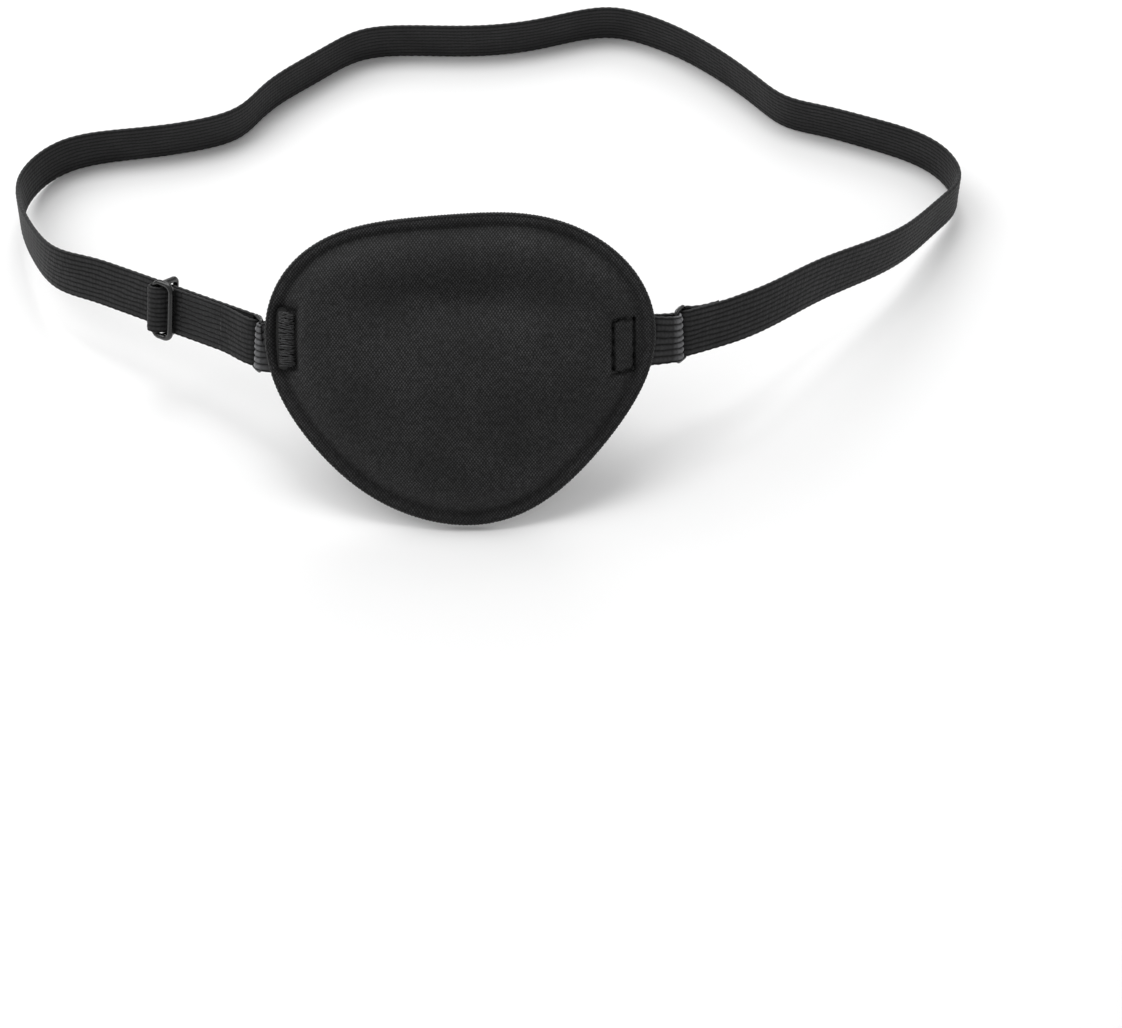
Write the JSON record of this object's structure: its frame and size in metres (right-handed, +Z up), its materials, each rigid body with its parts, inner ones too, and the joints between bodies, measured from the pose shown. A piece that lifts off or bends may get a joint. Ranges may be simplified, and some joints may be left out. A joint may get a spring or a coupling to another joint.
{
  "type": "eye patch with adjustable elastic head strap",
  "caption": "Padded, domed eye patch with a rounded triangular outline on an elastic head strap that joins wire rings at its sides and shortens with a wire slider.",
  "frame": {"origin": "the middle of the bottom of the whole object's box, on the floor that the strap stands on", "axes": "+X towards the patch's right-hand tab as seen from its outer side, +Y from the patch towards the strap's back run, +Z up"},
  "size_m": [0.2198, 0.1618, 0.0516],
  "materials": {
    "cover": "fine matt black knit with a soft sheen",
    "foam": "dark soft foam",
    "lining": "fine matt black knit",
    "seam_thread": "overlocked black thread",
    "stitch_thread": "black satin thread",
    "elastic": "ribbed black knitted elastic",
    "wire": "glossy black coated wire"
  },
  "bodies": {
    "patch_and_strap": {"front_cover": "cover", "foam_core": "foam", "back_cover": "lining", "edge_seam": "seam_thread", "left_bar_tack": "stitch_thread", "right_box_stitch": "stitch_thread", "left_tab": "elastic", "right_tab": "elastic", "strap": "elastic", "strap_return": "elastic", "strap_right_stitch": "stitch_thread"},
    "left_ring": {"left_ring": "wire"},
    "right_ring": {"right_ring": "wire"},
    "strap_end": {"strap_end": "elastic", "strap_end_stitch": "stitch_thread"},
    "slider": {"slider": "wire"}
  },
  "joints": [
    {"name": "slider_travel", "type": "slide", "parent": "patch_and_strap", "child": "strap_end", "axis": [-0.8398, 0.5248, -0.1392], "range_m": [-0.01, 0.012], "deforming": ["strap_return"]},
    {"name": "slider_rock", "type": "hinge", "parent": "strap_end", "child": "slider", "pos_m": [-0.07115, -0.0373, 0.02245], "axis": [0.0908, 0.3884, 0.917], "range_deg": [-4, 4]},
    {"name": "left_ring_rock", "type": "hinge", "parent": "patch_and_strap", "child": "left_ring", "pos_m": [-0.04646, -0.05308, 0.02669], "axis": [0.0908, 0.3884, 0.917], "range_deg": [-6, 6]},
    {"name": "right_ring_rock", "type": "hinge", "parent": "patch_and_strap", "child": "right_ring", "pos_m": [0.04054, -0.05186, 0.02815], "axis": [-0.0521, 0.371, 0.9272], "range_deg": [-6, 6]}
  ]
}
